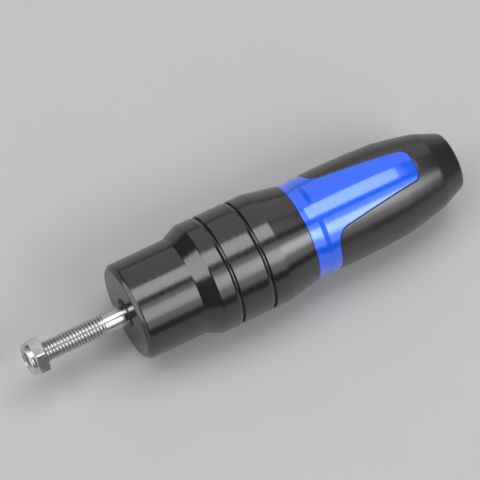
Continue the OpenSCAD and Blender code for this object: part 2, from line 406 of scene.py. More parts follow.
def turning_lines_group():
    """Fine grooves that a lathe tool leaves: rings round the axis, on barrels and end faces alike."""
    group, w = new_group(
        "turning_lines",
        [("Vector", "NodeSocketVector", None), ("Pitch", "NodeSocketFloat", 0.00015)],
        [("Height", "NodeSocketFloat"), ("Bands", "NodeSocketFloat")],
    )
    given = w.add("NodeGroupInput")
    apart = w.add("ShaderNodeSeparateXYZ", {"Vector": given.outputs["Vector"]})
    squared = w.math("ADD", w.math("POWER", apart.outputs["Y"], 2.0), w.math("POWER", apart.outputs["Z"], 2.0))
    along = w.math("MULTIPLY_ADD", w.math("SQRT", squared), 0.73, apart.outputs["X"])
    place = w.math("DIVIDE", along, given.outputs["Pitch"])
    fine = w.add("ShaderNodeTexNoise", {"W": place}, noise_dimensions="1D", Scale=1.0, Detail=2.0, Roughness=0.7)
    wide = w.add(
        "ShaderNodeTexNoise", {"W": w.math("MULTIPLY", place, 0.13)}, noise_dimensions="1D", Scale=1.0, Detail=2.0
    )
    out = w.add("NodeGroupOutput")
    w.tree.links.new(fine.outputs["Fac"], out.inputs["Height"])
    w.tree.links.new(wide.outputs["Fac"], out.inputs["Bands"])
    return group


def edge_wear_and_highlight_group():
    """Thin broken line along outer edges, lighter where handling has rubbed the finish and also as a painted edge
    highlight.
    """
    group, w = new_group(
        "edge_wear",
        [
            ("Vector", "NodeSocketVector", None),
            ("Width", "NodeSocketFloat", 0.0003),
            ("Break Up", "NodeSocketFloat", 900.0),
        ],
        [("Wear", "NodeSocketFloat")],
    )
    given = w.add("NodeGroupInput")
    bevel = w.add("ShaderNodeBevel", {"Radius": given.outputs["Width"]}, samples=4)
    surface = w.add("ShaderNodeNewGeometry")
    across = w.add(
        "ShaderNodeVectorMath", {0: bevel.outputs["Normal"], 1: surface.outputs["Normal"]}, operation="DOT_PRODUCT"
    )
    edge = w.spread(w.math("SUBTRACT", 1.0, across.outputs["Value"]), 0.012, 0.11)
    patches = w.add(
        "ShaderNodeTexNoise", {"Vector": given.outputs["Vector"], "Scale": given.outputs["Break Up"]}, Detail=3.0
    )
    broken = w.spread(patches.outputs["Fac"], 0.42, 0.66)
    out = w.add("NodeGroupOutput")
    w.tree.links.new(w.math("MULTIPLY", edge, broken), out.inputs["Wear"])
    return group


def handling_group():
    """Faint smudges and fine dust that lies thicker on upward faces."""
    group, w = new_group(
        "handling",
        [("Vector", "NodeSocketVector", None), ("Smudge Size", "NodeSocketFloat", 45.0)],
        [("Smudge", "NodeSocketFloat"), ("Dust", "NodeSocketFloat")],
    )
    given = w.add("NodeGroupInput")
    cloud = w.add(
        "ShaderNodeTexNoise",
        {"Vector": given.outputs["Vector"], "Scale": given.outputs["Smudge Size"]},
        Detail=4.0,
        Roughness=0.6,
        Distortion=0.8,
    )
    speck = w.add("ShaderNodeTexNoise", {"Vector": given.outputs["Vector"]}, Scale=2600.0, Detail=1.0)
    drift = w.add("ShaderNodeTexNoise", {"Vector": given.outputs["Vector"]}, Scale=110.0, Detail=3.0)
    surface = w.add("ShaderNodeNewGeometry")
    upward = w.add("ShaderNodeSeparateXYZ", {"Vector": surface.outputs["Normal"]})
    specks = w.spread(speck.outputs["Fac"], 0.62, 0.72)
    drifts = w.spread(drift.outputs["Fac"], 0.4, 0.75)
    facing = w.spread(upward.outputs["Z"], -0.2, 0.9)
    out = w.add("NodeGroupOutput")
    w.tree.links.new(w.spread(cloud.outputs["Fac"], 0.38, 0.7), out.inputs["Smudge"])
    w.tree.links.new(w.math("MULTIPLY", w.math("MULTIPLY", specks, drifts), facing), out.inputs["Dust"])
    return group


def scratches_group():
    """Sparse fine scratches that run mostly round the axis."""
    group, w = new_group(
        "fine_scratches",
        [("Vector", "NodeSocketVector", None), ("Density", "NodeSocketFloat", 1.0)],
        [("Scratch", "NodeSocketFloat")],
    )
    given = w.add("NodeGroupInput")
    stretched = w.add("ShaderNodeMapping", {"Vector": given.outputs["Vector"]})
    stretched.inputs["Scale"].default_value = (2600.0, 90.0, 120.0)
    stretched.inputs["Rotation"].default_value = (0.0, 0.06, 0.04)
    lines = w.add("ShaderNodeTexNoise", {"Vector": stretched.outputs["Vector"]}, Scale=1.0, Detail=2.0)
    where = w.add("ShaderNodeTexNoise", {"Vector": given.outputs["Vector"]}, Scale=160.0, Detail=2.0)
    thin = w.spread(lines.outputs["Fac"], 0.66, 0.7)
    patch = w.spread(where.outputs["Fac"], 0.5, 0.62)
    out = w.add("NodeGroupOutput")
    w.tree.links.new(
        w.math("MULTIPLY", w.math("MULTIPLY", thin, patch), given.outputs["Density"]), out.inputs["Scratch"]
    )
    return group


class Finish(Wiring):
    """A material under way: its tree, its Principled shader and its object coordinates."""

    def __init__(self, name):
        material = bpy.data.materials.new(name)
        material.use_nodes = True
        super().__init__(material.node_tree)
        self.tree.nodes.clear()
        self.shader = self.add("ShaderNodeBsdfPrincipled")
        out = self.add("ShaderNodeOutputMaterial")
        self.tree.links.new(self.shader.outputs["BSDF"], out.inputs["Surface"])
        self.place = self.add("ShaderNodeTexCoord").outputs["Object"]

    def effect(self, group, **values):
        """Places a shared effect with its own values."""
        node = self.add("ShaderNodeGroup")
        node.node_tree = bpy.data.node_groups[group]
        self.tree.links.new(self.place, node.inputs["Vector"])
        for key, value in values.items():
            node.inputs[key.replace("_", " ")].default_value = value
        return node

    def set(self, **values):
        """Sets constant values on the shader's own sockets."""
        for key, value in values.items():
            self.shader.inputs[key.replace("_", " ")].default_value = value

    def feed(self, **sockets):
        """Links sockets to the shader."""
        for key, socket in sockets.items():
            self.tree.links.new(socket, self.shader.inputs[key.replace("_", " ")])

    def bump(self, height, strength, distance, normal=None):
        """A Bump node on a height, after an earlier one if there is one."""
        node = self.add("ShaderNodeBump", {"Height": height}, Strength=strength, Distance=distance)
        if normal is not None:
            self.tree.links.new(normal, node.inputs["Normal"])
        return node.outputs["Normal"]


def scaled(rgba, factor):
    """A colour made lighter or darker."""
    return tuple(min(1.0, c * factor) for c in rgba[:3]) + (1.0,)


def black_anodised(c):
    """Satin black anodised aluminium with its turning lines."""
    f = Finish("black_anodised_turned")
    base, rough = tuple(c.anodised_black), c.anodised_black_roughness
    lines = f.effect("turning_lines", Pitch=0.00022)
    wear_and_highlight = f.effect("edge_wear", Width=0.00028, Break_Up=700.0)
    hand = f.effect("handling", Smudge_Size=38.0)
    f.set(IOR=1.75, Metallic=0.0)
    tone = f.blend(lines.outputs["Bands"], scaled(base, 0.75), scaled(base, 1.35))
    tone = f.blend(f.math("MULTIPLY", hand.outputs["Dust"], 0.10), tone, (0.3, 0.3, 0.3, 1.0))
    # The edges are tinted lighter: rubbed finish, and also a painted edge highlight.
    tone = f.blend(f.math("MULTIPLY", wear_and_highlight.outputs["Wear"], 0.45), tone, (0.16, 0.16, 0.165, 1.0))
    f.feed(Base_Color=tone)
    gloss = f.spread(lines.outputs["Bands"], 0.3, 0.7, rough - 0.02, rough + 0.02)
    gloss = f.math("MULTIPLY_ADD", hand.outputs["Smudge"], 0.03, gloss)
    f.feed(Roughness=f.math("MULTIPLY_ADD", wear_and_highlight.outputs["Wear"], 0.06, gloss, clamp=True))
    f.feed(Normal=f.bump(lines.outputs["Height"], 0.14, 0.00001))


def blue_anodised(c):
    """Bright blue anodised aluminium under a thin clear skin."""
    f = Finish("blue_anodised_turned")
    base, rough = tuple(c.anodised_blue), c.anodised_blue_roughness
    lines = f.effect("turning_lines", Pitch=0.0002)
    wear_and_highlight = f.effect("edge_wear", Width=0.00022, Break_Up=900.0)
    hand = f.effect("handling", Smudge_Size=42.0)
    f.set(Metallic=0.3, Coat_Weight=1.0, Coat_Roughness=0.12, Coat_IOR=1.6)
    tone = f.blend(lines.outputs["Bands"], scaled(base, 0.88), scaled(base, 1.1))
    tone = f.blend(f.math("MULTIPLY", hand.outputs["Dust"], 0.06), tone, (0.35, 0.4, 0.5, 1.0))
    # The edges are tinted lighter: rubbed finish, and also a painted edge highlight.
    tone = f.blend(f.math("MULTIPLY", wear_and_highlight.outputs["Wear"], 0.2), tone, (0.25, 0.42, 0.95, 1.0))
    f.feed(Base_Color=tone)
    gloss = f.spread(lines.outputs["Bands"], 0.3, 0.7, rough - 0.03, rough + 0.03)
    f.feed(Roughness=f.math("MULTIPLY_ADD", hand.outputs["Smudge"], 0.03, gloss, clamp=True))
    f.feed(Normal=f.bump(lines.outputs["Height"], 0.08, 0.00001))


def black_nylon(c):
    """Black nylon, turned and lightly polished: softer and a little warmer than the metal."""
    f = Finish("black_nylon_turned")
    base, rough = tuple(c.nylon_black), c.nylon_black_roughness
    lines = f.effect("turning_lines", Pitch=0.00034)
    hand = f.effect("handling", Smudge_Size=30.0)
    wear_and_highlight = f.effect("edge_wear", Width=0.0003, Break_Up=600.0)
    grain = f.add("ShaderNodeTexNoise", {"Vector": f.place}, Scale=5200.0, Detail=2.0, Roughness=0.6)
    cloud = f.add("ShaderNodeTexNoise", {"Vector": f.place}, Scale=55.0, Detail=4.0, Roughness=0.6)
    f.set(IOR=1.72, Metallic=0.0)
    tone = f.blend(cloud.outputs["Fac"], scaled(base, 0.8), scaled(base, 1.3))
    tone = f.blend(f.math("MULTIPLY", hand.outputs["Dust"], 0.12), tone, (0.3, 0.29, 0.28, 1.0))
    # The edges are tinted lighter: rubbed finish, and also a painted edge highlight.
    tone = f.blend(f.math("MULTIPLY", wear_and_highlight.outputs["Wear"], 0.35), tone, (0.07, 0.07, 0.07, 1.0))
    f.feed(Base_Color=tone)
    gloss = f.spread(cloud.outputs["Fac"], 0.3, 0.7, rough - 0.035, rough + 0.035)
    f.feed(Roughness=f.math("MULTIPLY_ADD", hand.outputs["Smudge"], 0.05, gloss, clamp=True))
    turned_bump = f.bump(lines.outputs["Height"], 0.12, 0.000012)
    f.feed(Normal=f.bump(grain.outputs["Fac"], 0.08, 0.00002, turned_bump))


def plated_steel(c, name="plated_steel_bright", threaded=False):
    """Plated steel with light scratches and a breath of haze. The bolt is a little duller, with painted shade darkening
    it towards its axis, in its thread roots and its key socket.
    """
    f = Finish(name)
    base, rough = scaled(c.steel, 1.0 if threaded else 1.18), c.steel_roughness
    hand = f.effect("handling", Smudge_Size=220.0)
    marks = f.effect("fine_scratches", Density=1.0)
    wear_and_highlight = f.effect("edge_wear", Width=0.00012, Break_Up=1500.0)
    cloud = f.add("ShaderNodeTexNoise", {"Vector": f.place}, Scale=420.0, Detail=4.0, Roughness=0.65)
    f.set(Metallic=1.0)
    tone = f.blend(cloud.outputs["Fac"], scaled(base, 0.92), scaled(base, 1.06))
    # The edges are tinted lighter: rubbed finish, and also a painted edge highlight.
    tone = f.blend(f.math("MULTIPLY", wear_and_highlight.outputs["Wear"], 0.4), tone, (0.8, 0.79, 0.78, 1.0))
    gloss = f.spread(cloud.outputs["Fac"], 0.3, 0.7, rough - 0.05, rough + 0.06)
    gloss = f.math("MULTIPLY_ADD", hand.outputs["Smudge"], 0.07, gloss)
    gloss = f.math("MULTIPLY_ADD", marks.outputs["Scratch"], 0.16, gloss, clamp=True)
    if threaded:
        # Painted shade: the bolt's colour darkens towards its axis, in the thread roots and the key socket, and its
        # roughness rises there.
        apart = f.add("ShaderNodeSeparateXYZ", {"Vector": f.place})
        around = f.math("ADD", f.math("POWER", apart.outputs["Y"], 2.0), f.math("POWER", apart.outputs["Z"], 2.0))
        depth = f.spread(f.math("SQRT", around), 0.0031, 0.00345)
        root_shade = f.math("SUBTRACT", 1.0, depth)
        tone = f.blend(f.math("MULTIPLY", root_shade, 0.8), tone, (0.012, 0.0115, 0.011, 1.0))
        gloss = f.math("MULTIPLY_ADD", root_shade, 0.3, gloss, clamp=True)
    f.feed(Base_Color=tone)
    f.feed(Roughness=gloss)
    f.feed(Normal=f.bump(marks.outputs["Scratch"], 0.2, 0.00001))


def threaded_steel(c):
    """The plated steel of the bolt, with painted shade darkening it down in its thread."""
    plated_steel(c, "plated_steel_threaded", True)


def insert_nylon(c):
    """Pale nylon of the nut's locking ring, a little translucent and dulled."""
    f = Finish("insert_nylon_pale")
    base = tuple(c.insert)
    cloud = f.add("ShaderNodeTexNoise", {"Vector": f.place}, Scale=900.0, Detail=3.0)
    grain = f.add("ShaderNodeTexNoise", {"Vector": f.place}, Scale=7000.0, Detail=2.0)
    f.set(IOR=1.53, Subsurface_Weight=0.15, Subsurface_Scale=0.0008)
    f.feed(Base_Color=f.blend(cloud.outputs["Fac"], scaled(base, 0.8), scaled(base, 1.12)))
    f.feed(Roughness=f.spread(cloud.outputs["Fac"], 0.3, 0.7, 0.42, 0.55))
    f.feed(Normal=f.bump(grain.outputs["Fac"], 0.2, 0.00002))


def floor_finish(c):
    """Plain pale floor with a barely visible mottle."""
    f = Finish("pale_floor")
    base = tuple(c.floor)
    cloud = f.add("ShaderNodeTexNoise", {"Vector": f.place}, Scale=7.0, Detail=3.0)
    grain = f.add("ShaderNodeTexNoise", {"Vector": f.place}, Scale=900.0, Detail=2.0)
    f.set(IOR=1.4)
    f.feed(Base_Color=f.blend(cloud.outputs["Fac"], scaled(base, 0.97), scaled(base, 1.03)))
    f.feed(Roughness=f.spread(grain.outputs["Fac"], 0.3, 0.7, 0.66, 0.74))


# ---------------------------------------------------------------------------------- shapes in plan


def straight_with_rise(x, x0, r0, x1, r1, rise):
    """Radius of a line between two stations that bulges by a rise at its middle."""
    t = (x - x0) / (x1 - x0)
    return r0 + (r1 - r0) * t + 4 * rise * t * (1 - t)


def skin_radius(s, x):
    """Outer radius that the tongue and the nose share."""
    if x <= s.crease_x:
        return straight_with_rise(x, s.shoulder_x, s.shoulder_radius, s.crease_x, s.crease_radius, s.swell_rise)
    return straight_with_rise(x, s.crease_x, s.crease_radius, s.end_cone_x, s.end_cone_radius, s.fall_rise)


def tongue_outline(s, gap):
    """Stations and half widths down one side of the tongue, grown by a gap: fillet, flank and rounded tip."""
    root = s.root_half_width + gap
    tip_x, tip = TIP_X + gap, s.tip_half_width + gap
    slope = (tip - root) / (tip_x - s.shoulder_x)
    lean = math.atan(slope)
    fillet, corner = s.root_fillet - gap, s.tip_round + gap
    fillet_x = s.shoulder_x + fillet
    fillet_w = root + slope * fillet + fillet / math.cos(lean)
    corner_x = tip_x - corner
    corner_w = root + slope * (corner_x - s.shoulder_x) - corner / math.cos(lean)
    steps = 9
    points = []
    for i in range(steps + 1):
        a = math.pi + (math.pi / 2 + lean) * i / steps
        points.append((fillet_x + fillet * math.cos(a), fillet_w + fillet * math.sin(a)))
    flank_from, flank_to = points[-1][0], corner_x - corner * math.sin(lean)
    for start, end, count in ((flank_from, s.crease_x, 19), (s.crease_x, flank_to, 4)):
        for i in range(1, count + (end == s.crease_x)):
            x = start + (end - start) * i / count
            points.append((x, root + slope * (x - s.shoulder_x)))
    for i in range(steps + 1):
        a = (math.pi / 2 + lean) * (1 - i / steps)
        points.append((corner_x + corner * math.cos(a), corner_w + corner * math.sin(a)))
    return points


SHEET_R = 18.5 * MM
TONGUE_COLUMNS = 20
RING_COLUMNS = 120


def column_angles(half):
    """Angles of a row's columns, from one side of the closing seam to the other, spread evenly on the tongue."""
    side = RING_COLUMNS // 2
    right = [half * j / TONGUE_COLUMNS for j in range(TONGUE_COLUMNS + 1)]
    right += [half + (math.pi - half) * k / side for k in range(1, side + 1)]
    return [-a for a in reversed(right[1:])] + right


def flat_sheet(name, rows):
    """A grid laid out flat: rows of (place, radius, tongue half angle) along X, angles along Z, depth along Y."""
    fresh()
    columns = 2 * TONGUE_COLUMNS + RING_COLUMNS
    bpy.ops.mesh.primitive_grid_add(
        x_subdivisions=len(rows) - 1, y_subdivisions=columns, size=2.0, location=(0, 0, 0)
    )
    obj = bpy.context.object
    obj.name = obj.data.name = name
    if len(obj.data.vertices) != len(rows) * (columns + 1):
        raise RuntimeError("the grid has other rows and columns than were asked for")
    angles = [column_angles(row[2]) for row in rows]
    for vertex in obj.data.vertices:
        i = round((vertex.co.x + 1) / 2 * (len(rows) - 1))
        j = round((vertex.co.y + 1) / 2 * columns)
        x, radius, _ = rows[i]
        vertex.co = (x, SHEET_R - radius, SHEET_R * angles[i][j])
    return obj


def wrap_round(obj):
    """Bends the flat sheet into a closed ring about the X axis and turns its middle line to +Z."""
    bend = obj.modifiers.new("wrap", "SIMPLE_DEFORM")
    bend.deform_method = "BEND"
    bend.deform_axis = "X"
    bend.angle = 2 * math.pi
    apply_modifiers(obj)
    edit()
    bpy.ops.mesh.select_all(action="SELECT")
    bpy.ops.transform.translate(value=(0, -SHEET_R, 0))
    done()
    obj.data.transform(Matrix.Rotation(-math.pi / 2, 4, "X"))
    edit()
    close_up()
    done()


def flatten_to(radius):
    """Presses what is selected to one depth of the flat sheet."""
    bpy.ops.transform.resize(value=(1, 0, 1), center_override=(0, SHEET_R - radius, 0))


def bevel_rows(places, rounding, segments=2):
    """Rounds the sheet's edges that run across it at these places and radii."""
    found = pick(
        "edges",
        lambda e: any(
            all(abs(v.co.x - x) < NEAR and abs(v.co.y - (SHEET_R - r)) < NEAR for v in e.verts) for x, r in places
        ),
    )
    if not found:
        raise RuntimeError("no edges to round")
    bpy.ops.mesh.bevel(offset=rounding, segments=segments, affect="EDGES")


# --------------------------------------------------------------------------------------- operators


class SLIDER_OT_finishes(bpy.types.Operator):
    """Makes the node groups and the materials of every piece"""

    bl_idname = "slider.finishes"
    bl_label = "Make Finishes"

    def execute(self, context):
        for make in (turning_lines_group, edge_wear_and_highlight_group, handling_group, scratches_group):
            make()
        for make in (black_anodised, blue_anodised, black_nylon, plated_steel, threaded_steel, insert_nylon, floor_finish):
            make(context.scene.slider_colours)
        return {"FINISHED"}


def front_spigot(s, x):
    """Outline of the male register at the front of a piece, up to its seam groove."""
    return [
        (x - s.spigot_length, s.bore_radius, 0.1 * MM),
        (x - s.spigot_length, s.spigot_radius, 0.3 * MM),
        (x, s.spigot_radius, 0),
        (x, MAIN_R - s.seam_depth, 0),
        (x + s.seam_width, MAIN_R - s.seam_depth, 0),
        (x + s.seam_width, MAIN_R, s.edge_round),
    ]


def rear_lip(s, x):
    """Outline of the lip in front of a seam and of the female register behind it."""
    fit, relief = 0.05 * MM, 0.4 * MM
    return [
        (x - s.lip_length, MAIN_R, s.edge_round),
        (x, MAIN_R - s.lip_drop, 0.12 * MM),
        (x, s.spigot_radius + fit, 0),
        (x - s.spigot_length - relief, s.spigot_radius + fit, 0),
        (x - s.spigot_length - relief, s.bore_radius, 0.1 * MM),
    ]


class SLIDER_OT_turned_metal(bpy.types.Operator):
    """Turns the mounting spacer, the middle ring and the tapered body"""

    bl_idname = "slider.turned_metal"
    bl_label = "Turn Black Metal"

    def execute(self, context):
        s, n = context.scene.slider_body, context.scene.slider_nose
        barrel_end = FACE_X + s.barrel_length
        spacer = [
            (FACE_X + 1.0 * MM, s.bore_radius, 0.15 * MM),
            (FACE_X, s.bore_radius + 1.0 * MM, 0.15 * MM),
            (FACE_X, s.barrel_radius - 1.5 * MM, 0.3 * MM),
            (FACE_X + 1.5 * MM, s.barrel_radius, 0.3 * MM),
            (barrel_end, s.barrel_radius, 0.2 * MM),
            (barrel_end + s.cone_length, MAIN_R, s.crease_round),
        ] + rear_lip(s, RING_X)
        ring = front_spigot(s, RING_X) + rear_lip(s, BODY_X)
        taper_x = BODY_X + s.straight_length
        taper = front_spigot(s, BODY_X) + [
            (taper_x, MAIN_R, s.crease_round),
            (COLLAR_X, s.waist_radius, s.edge_round),
            (COLLAR_X, n.collar_bore_radius, 0),
            (n.spigot_x, n.collar_bore_radius, 0),
            (n.spigot_x, s.bore_radius, 0.1 * MM),
        ]
        for name, node, outline in (
            ("turned_spacer", "mounting_spacer", spacer),
            ("turned_ring", "middle_ring", ring),
            ("turned_taper", "tapered_body", taper),
        ):
            piece = turned(name, outline, s.turn_steps)
            smooth(piece)
            dress(piece, "slider", node, "black_anodised_turned")
        return {"FINISHED"}


class SLIDER_OT_blue_collar(bpy.types.Operator):
    """Forms the blue collar: a stepped ring with a tongue that tapers back over the nose"""

    bl_idname = "slider.blue_collar"
    bl_label = "Form Blue Collar"

    def execute(self, context):
        s, body = context.scene.slider_nose, context.scene.slider_body
        outline = tongue_outline(s, 0.0)
        root_angle = math.asin(outline[0][1] / skin_radius(s, outline[0][0]))
        slope_x = COLLAR_X + s.slope_at
        corners = [
            (COLLAR_X, body.waist_radius),
            (COLLAR_X + s.flare_length, s.collar_radius),
            (slope_x, s.collar_radius),
            (slope_x + s.slope_length, s.shoulder_radius),
        ]
        rows = [(x, r, root_angle) for x, r in corners]
        rows += [(x, skin_radius(s, x), math.asin(w / skin_radius(s, x))) for x, w in outline]
        obj = flat_sheet("blue_collar", rows)
        take(obj)
        edit("FACE")
        edge = self.tongue_test(s, outline)
        pick("faces", lambda f: not edge(f))
        bpy.ops.mesh.delete(type="FACE")
        bpy.ops.mesh.select_mode(type="EDGE")
        bevel_rows(corners[1:], 0.1 * MM)
        bevel_rows([(s.crease_x, s.crease_radius)], s.crease_round)
        bpy.ops.mesh.select_mode(type="FACE")
        bpy.ops.mesh.select_all(action="SELECT")
        bpy.ops.mesh.extrude_region_move(TRANSFORM_OT_translate={"value": (0, 2 * MM, 0)})
        flatten_to(s.collar_bore_radius)
        end = SHEET_R * math.pi
        pick("faces", lambda f: all(abs(abs(v.co.z) - end) < NEAR for v in f.verts))
        bpy.ops.mesh.delete(type="FACE")
        bpy.ops.mesh.select_all(action="SELECT")
        bpy.ops.mesh.normals_make_consistent(inside=False)
        top = SHEET_R - (s.collar_bore_radius + 1.5 * MM)
        bpy.ops.mesh.select_mode(type="EDGE")
        pick(
            "edges",
            lambda e: len(e.link_faces) == 2
            and all(v.co.y < top for v in e.verts)
            and e.calc_face_angle(0) > math.radians(55),
        )
        bpy.ops.mesh.bevel(offset=s.rim_round, segments=3, affect="EDGES")
        done()
        wrap_round(obj)
        smooth(obj)
        dress(obj, "slider", "accent_collar", "blue_anodised_turned")
        return {"FINISHED"}

    def tongue_test(self, s, outline):
        """Tells a face of the ring or the tongue from one beside the tongue."""
        stations = [x for x, _ in outline]
        halves = [math.asin(w / skin_radius(s, x)) * SHEET_R for x, w in outline]

        def inside(face):
            centre = face.calc_center_median()
            if centre.x < s.shoulder_x:
                return True
            for k in range(len(stations) - 1):
                if stations[k] <= centre.x <= stations[k + 1]:
                    t = (centre.x - stations[k]) / (stations[k + 1] - stations[k])
                    return abs(centre.z) < halves[k] + (halves[k + 1] - halves[k]) * t
            return False

        return inside


class SLIDER_OT_nylon_nose(bpy.types.Operator):
    """Turns the nylon nose and sinks the pocket for the collar's tongue in it"""

    bl_idname = "slider.nylon_nose"
    bl_label = "Turn Nylon Nose"

    def execute(self, context):
        s, body = context.scene.slider_nose, context.scene.slider_body
        outline = tongue_outline(s, s.pocket_gap)
        shoulder = outline[0][0]
        skin = [(x, skin_radius(s, x), math.asin(w / skin_radius(s, x))) for x, w in outline]
        root, tip = skin[0][2], skin[-1][2]
        fall = [(x * MM, skin_radius(s, x * MM), tip) for x in (118, 120, 122, 123.5)]
        well_end = s.spigot_x + 4.7 * MM
        behind = [
            (s.end_cone_x, s.end_cone_radius, tip),
            (NOSE_END_X - 2.0 * MM, s.end_radius + 2.0 * MM * (s.end_cone_radius - s.end_radius) / (NOSE_END_X - s.end_cone_x), tip),
            (NOSE_END_X, s.end_radius, tip),
            (NOSE_END_X, s.well_radius + 1.0 * MM, tip),
            (NOSE_END_X - 1.0 * MM, s.well_radius, tip),
        ]
        well_from = NOSE_END_X - 4.0 * MM
        for k in range(9):
            t = k / 8
            behind.append((well_from + (well_end - well_from) * t, s.well_radius, tip + (root - tip) * t))
        front = [
            (well_end, body.bore_radius, root),
            (s.spigot_x, body.bore_radius, root),
            (s.spigot_x, s.spigot_radius, root),
            (shoulder, s.spigot_radius, root),
            (shoulder, skin[0][1], root),
        ]
        rows = skin + fall + behind + front
        obj = flat_sheet("nylon_nose", rows)
        take(obj)
        edit("EDGE")
        bevel_rows([(s.crease_x, s.crease_radius)], s.crease_round)
        bpy.ops.mesh.select_mode(type="FACE")
        limits = [(x, SHEET_R * a) for x, _, a in skin]

        def on_tongue(face):
            centre = face.calc_center_median()
            if centre.y > SHEET_R - s.spigot_radius - MM or centre.x > limits[-1][0]:
                return False
            for (xa, za), (xb, zb) in zip(limits, limits[1:]):
                if xa < centre.x <= xb:
                    return abs(centre.z) < za + (zb - za) * (centre.x - xa) / (xb - xa)
            return False

        pick("faces", on_tongue)
        bpy.ops.mesh.extrude_region_move(TRANSFORM_OT_translate={"value": (0, 2 * MM, 0)})
        flatten_to(s.spigot_radius)
        mouth = SHEET_R * root + NEAR
        deep = SHEET_R - s.spigot_radius + NEAR
        pick(
            "faces",
            lambda f: all(abs(v.co.x - shoulder) < NEAR and abs(v.co.z) < mouth and v.co.y < deep for v in f.verts),
        )
        bpy.ops.mesh.delete(type="FACE")
        bpy.ops.mesh.select_all(action="SELECT")
        bpy.ops.mesh.remove_doubles(threshold=NEAR)
        bpy.ops.mesh.select_all(action="SELECT")
        bpy.ops.mesh.normals_make_consistent(inside=False)
        bpy.ops.mesh.select_mode(type="EDGE")
        top = deep - 1.5 * MM
        inner = TIP_X + 2.0 * MM
        pick(
            "edges",
            lambda e: len(e.link_faces) == 2
            and all(v.co.y < top and v.co.x < inner for v in e.verts)
            and e.calc_face_angle(0) > math.radians(55),
        )
        bpy.ops.mesh.bevel(offset=s.rim_round, segments=3, affect="EDGES")
        bevel_rows([(s.end_cone_x, s.end_cone_radius)], 0.5 * MM, 3)
        bevel_rows([(NOSE_END_X, s.end_radius)], 0.7 * MM, 4)
        bevel_rows([(NOSE_END_X, s.well_radius + 1.0 * MM), (NOSE_END_X - 1.0 * MM, s.well_radius)], 0.25 * MM, 3)
        done()
        wrap_round(obj)
        smooth(obj)
        dress(obj, "slider", "nose_slider", "black_nylon_turned")
        return {"FINISHED"}


